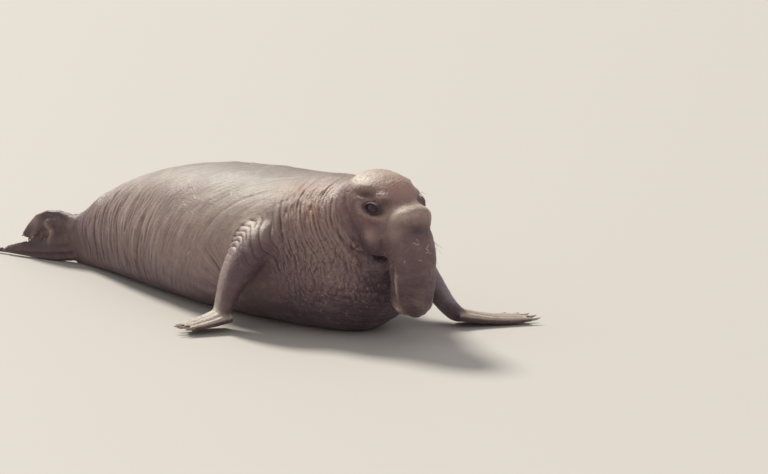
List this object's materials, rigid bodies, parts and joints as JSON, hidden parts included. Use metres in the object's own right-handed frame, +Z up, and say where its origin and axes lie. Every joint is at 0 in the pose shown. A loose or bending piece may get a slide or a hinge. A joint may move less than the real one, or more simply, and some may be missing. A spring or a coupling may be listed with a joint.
{
  "type": "elephant seal",
  "caption": "Still life-size model of an adult bull elephant seal lying on its belly, propped on its fore flippers, with a long hanging nose.",
  "frame": {"origin": "on the floor, under the middle of the animal's bounding box", "axes": "+X forward along the body towards the head, +Y to the seal's left, +Z up"},
  "size_m": [4.2102, 2.0149, 1.0354],
  "materials": {
    "hide_back": "short damp hair, satin",
    "hide_neck": "scarred thick skin, satin",
    "hide_head": "short damp hair, satin",
    "hide_nose": "wet bare skin",
    "hide_flipper": "short damp hair, satin",
    "eye": "wet, glossy"
  },
  "bodies": {
    "root": {"neck": "hide_neck", "chest": "hide_neck", "torso": "hide_back", "rump": "hide_back", "tail_stock": "hide_back", "tail": "hide_back", "head": "hide_head", "lower_jaw": "hide_head", "proboscis": "hide_nose", "eye_right": "eye", "eye_left": "eye", "fore_arm_right": "hide_back", "hand_right": "hide_flipper", "fore_arm_left": "hide_back", "hand_left": "hide_flipper", "hind_flipper_right": "hide_flipper", "hind_flipper_left": "hide_flipper"}
  },
  "joints": []
}
